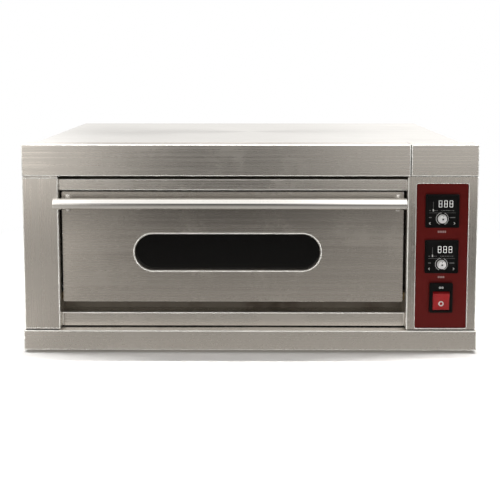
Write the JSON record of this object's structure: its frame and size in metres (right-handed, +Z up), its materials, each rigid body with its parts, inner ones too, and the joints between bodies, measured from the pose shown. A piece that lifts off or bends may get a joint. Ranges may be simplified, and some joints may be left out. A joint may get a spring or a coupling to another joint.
{
  "type": "deck oven",
  "caption": "Single-deck electric bakery oven with a drop-down windowed door, bar handle, baking stones, heating elements and a side control panel.",
  "frame": {"origin": "on the floor, under the centre of the bounding box", "axes": "+X along the front from left to right, +Y from the front to the back, +Z up"},
  "size_m": [1.304, 0.955, 0.603],
  "materials": {
    "brushed_stainless": "satin",
    "body_stainless": "satin",
    "galvanised": "matte",
    "chamber_steel": "matte",
    "screw_steel": "gloss",
    "polished_trim": "polished",
    "handle_chrome": "polished",
    "spring_steel": "satin",
    "bush_brass": "satin",
    "foot_rubber": "matte",
    "fascia_red": "satin",
    "controller_black": "satin",
    "display_window": "gloss",
    "dial_metal": "satin",
    "rocker_red": "gloss",
    "electrics_plastic": "matte",
    "wire_sleeve": "matte",
    "gland_plastic": "matte",
    "smoked_glass": "gloss",
    "clear_glass": "gloss",
    "bulb_glass": "gloss",
    "mineral_wool": "matte",
    "seal_rope": "matte",
    "baking_stone": "matte",
    "element_sheath": "matte"
  },
  "bodies": {
    "cabinet": {"base_pan": "galvanised", "feet": "foot_rubber", "plinth": "brushed_stainless", "left_column": "brushed_stainless", "right_column": "brushed_stainless", "canopy": "brushed_stainless", "canopy_cap": "brushed_stainless", "header_rail": "brushed_stainless", "sill_rail": "brushed_stainless", "left_side_panel": "body_stainless", "right_side_panel": "body_stainless", "back_panel": "galvanised", "top_panel": "body_stainless", "panel_screws": "screw_steel", "chamber_front": "chamber_steel", "chamber_floor": "chamber_steel", "chamber_roof": "chamber_steel", "chamber_side_walls": "chamber_steel", "chamber_back_wall": "chamber_steel", "side_insulation": "mineral_wool", "deck_insulation": "mineral_wool", "upper_elements": "element_sheath", "lower_elements": "element_sheath", "element_supports": "chamber_steel", "stone_ledges": "chamber_steel", "baking_stones": "baking_stone", "lamp_housing": "chamber_steel", "lamp_bulb": "bulb_glass", "lamp_lens": "clear_glass", "temperature_probes": "screw_steel", "steam_outlet": "body_stainless", "electrics_partition": "galvanised", "contactors": "electrics_plastic", "terminal_block": "electrics_plastic", "wiring_loom": "wire_sleeve", "control_fascia": "fascia_red", "upper_controller": "controller_black", "lower_controller": "controller_black", "display_windows": "display_window", "switch_case": "controller_black", "hinge_bushes": "bush_brass", "hinge_springs": "spring_steel", "hinge_plates": "galvanised", "door_seal": "seal_rope", "cable_gland": "gland_plastic"},
    "door": {"door_outer_panel": "brushed_stainless", "door_inner_panel": "chamber_steel", "door_insulation": "mineral_wool", "window_panes": "smoked_glass", "window_trim": "polished_trim", "window_tunnel": "chamber_steel", "handle_bar": "handle_chrome", "handle_brackets": "body_stainless", "handle_screws": "screw_steel", "hinge_pins": "screw_steel", "hinge_levers": "galvanised"},
    "upper_dial": {"upper_dial": "dial_metal"},
    "lower_dial": {"lower_dial": "dial_metal"},
    "power_rocker": {"power_rocker": "rocker_red"}
  },
  "joints": [
    {"name": "door_hinge", "type": "hinge", "parent": "cabinet", "child": "door", "pos_m": [0, -0.3785, 0.1545], "axis": [1, 0, 0], "range_deg": [0, 90], "stiffness_Nm_per_rad": 7.6, "springref_deg": -22.35, "deforming": ["hinge_springs"]},
    {"name": "upper_dial_turn", "type": "hinge", "parent": "cabinet", "child": "upper_dial", "pos_m": [0.548, -0.4365, 0.3912], "axis": [0, 1, 0], "range_deg": [-135, 135]},
    {"name": "lower_dial_turn", "type": "hinge", "parent": "cabinet", "child": "lower_dial", "pos_m": [0.548, -0.4365, 0.2594], "axis": [0, 1, 0], "range_deg": [-135, 135]},
    {"name": "rocker_tilt", "type": "hinge", "parent": "cabinet", "child": "power_rocker", "pos_m": [0.548, -0.427, 0.1531], "axis": [-1, 0, 0], "range_deg": [0, 16]}
  ]
}
